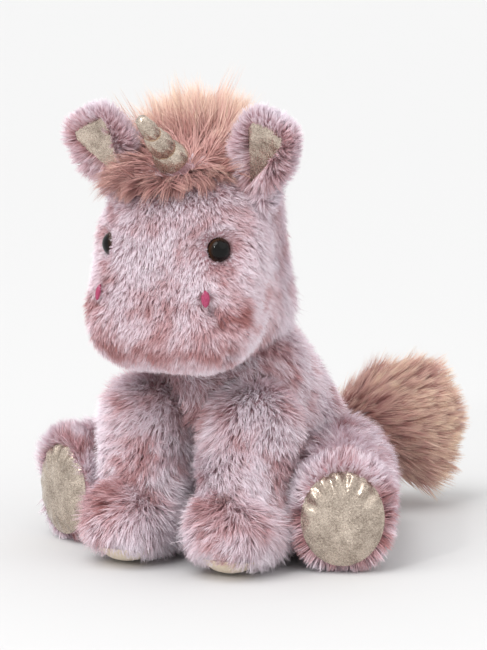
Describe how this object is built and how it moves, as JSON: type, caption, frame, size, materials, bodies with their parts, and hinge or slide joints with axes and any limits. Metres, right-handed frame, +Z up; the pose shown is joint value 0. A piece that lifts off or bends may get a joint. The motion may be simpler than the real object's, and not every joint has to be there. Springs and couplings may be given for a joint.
{
  "type": "plush unicorn",
  "caption": "Seated soft toy unicorn in mottled pink pile, with a long-pile mane and tail, a stuffed metallic horn, lined ears and splayed hind legs with metallic pads.",
  "frame": {"origin": "centre of the flat seat gusset, on the surface that the toy sits on", "axes": "+Z up, the face looks along -Y, +X is the toy's own left side"},
  "size_m": [0.2522, 0.294, 0.3018],
  "materials": {
    "plush": "matte",
    "long_pile": "matte",
    "metallic_cloth": "satin",
    "sole_cloth": "matte",
    "stuffing": "matte",
    "pellets": "matte",
    "eye": "gloss",
    "washer": "matte",
    "embroidery": "satin",
    "thread": "satin"
  },
  "bodies": {
    "torso": {"side_panel_left": "plush", "side_panel_right": "plush", "chest_panel": "plush", "seat_gusset": "plush", "torso_stuffing": "stuffing", "seat_pellet_bag": "pellets"},
    "neck": {"neck_collar": "plush"},
    "head": {"face_panel_left": "plush", "face_panel_right": "plush", "crown_gusset": "plush", "chin_gusset": "plush", "head_stuffing": "stuffing", "mane_forelock": "long_pile", "mane_nape": "long_pile", "eye_left": "eye", "eye_right": "eye", "eye_washer_left": "washer", "eye_washer_right": "washer", "nostril_left": "embroidery", "nostril_right": "embroidery"},
    "ear_left": {"ear_plush_left": "plush", "ear_lining_left": "metallic_cloth"},
    "ear_right": {"ear_plush_right": "plush", "ear_lining_right": "metallic_cloth"},
    "horn": {"horn_cover": "metallic_cloth", "horn_stuffing": "stuffing", "horn_thread": "thread"},
    "front_leg_left": {"front_leg_plush_left": "plush", "front_leg_stuffing_left": "stuffing", "front_sole_left": "sole_cloth"},
    "front_leg_right": {"front_leg_plush_right": "plush", "front_leg_stuffing_right": "stuffing", "front_sole_right": "sole_cloth"},
    "hind_leg_left": {"hind_leg_plush_left": "plush", "hind_leg_stuffing_left": "stuffing", "hind_pad_left": "metallic_cloth", "foot_pellet_bag_left": "pellets"},
    "hind_leg_right": {"hind_leg_plush_right": "plush", "hind_leg_stuffing_right": "stuffing", "hind_pad_right": "metallic_cloth", "foot_pellet_bag_right": "pellets"},
    "tail": {"tail_hair": "long_pile", "tail_root": "plush"}
  },
  "joints": [
    {"name": "neck_turn", "type": "hinge", "parent": "torso", "child": "neck", "pos_m": [0, -0.054, 0.112], "axis": [0, 0, 1], "range_deg": [-18, 18], "stiffness_Nm_per_rad": 1},
    {"name": "head_nod", "type": "hinge", "parent": "neck", "child": "head", "pos_m": [0, -0.054, 0.112], "axis": [1, 0, 0], "range_deg": [-7, 7], "stiffness_Nm_per_rad": 3},
    {"name": "ear_flex_left", "type": "hinge", "parent": "head", "child": "ear_left", "pos_m": [0.043, -0.103, 0.238], "axis": [0.8988, 0, -0.4384], "range_deg": [-12, 12], "stiffness_Nm_per_rad": 0.03},
    {"name": "ear_flex_right", "type": "hinge", "parent": "head", "child": "ear_right", "pos_m": [-0.043, -0.103, 0.238], "axis": [0.8988, 0, 0.4384], "range_deg": [-12, 12], "stiffness_Nm_per_rad": 0.03},
    {"name": "horn_flex", "type": "hinge", "parent": "head", "child": "horn", "pos_m": [0, -0.125, 0.2545], "axis": [1, 0, 0], "range_deg": [-8, 8], "stiffness_Nm_per_rad": 0.03},
    {"name": "front_leg_swing_left", "type": "hinge", "parent": "torso", "child": "front_leg_left", "pos_m": [0.0365, -0.092, 0.088], "axis": [-1, 0, 0], "range_deg": [0, 35], "stiffness_Nm_per_rad": 1.5},
    {"name": "front_leg_swing_right", "type": "hinge", "parent": "torso", "child": "front_leg_right", "pos_m": [-0.0365, -0.092, 0.088], "axis": [-1, 0, 0], "range_deg": [0, 35], "stiffness_Nm_per_rad": 1.5},
    {"name": "hind_leg_splay_left", "type": "hinge", "parent": "torso", "child": "hind_leg_left", "pos_m": [0.05, 0.008, 0.042], "axis": [0, 0, 1], "range_deg": [0, 18], "stiffness_Nm_per_rad": 1},
    {"name": "hind_leg_splay_right", "type": "hinge", "parent": "torso", "child": "hind_leg_right", "pos_m": [-0.05, 0.008, 0.042], "axis": [0, 0, -1], "range_deg": [0, 18], "stiffness_Nm_per_rad": 1},
    {"name": "tail_wag", "type": "hinge", "parent": "torso", "child": "tail", "pos_m": [0, 0.059, 0.052], "axis": [0, 0, 1], "range_deg": [-8, 60], "stiffness_Nm_per_rad": 0.1}
  ]
}
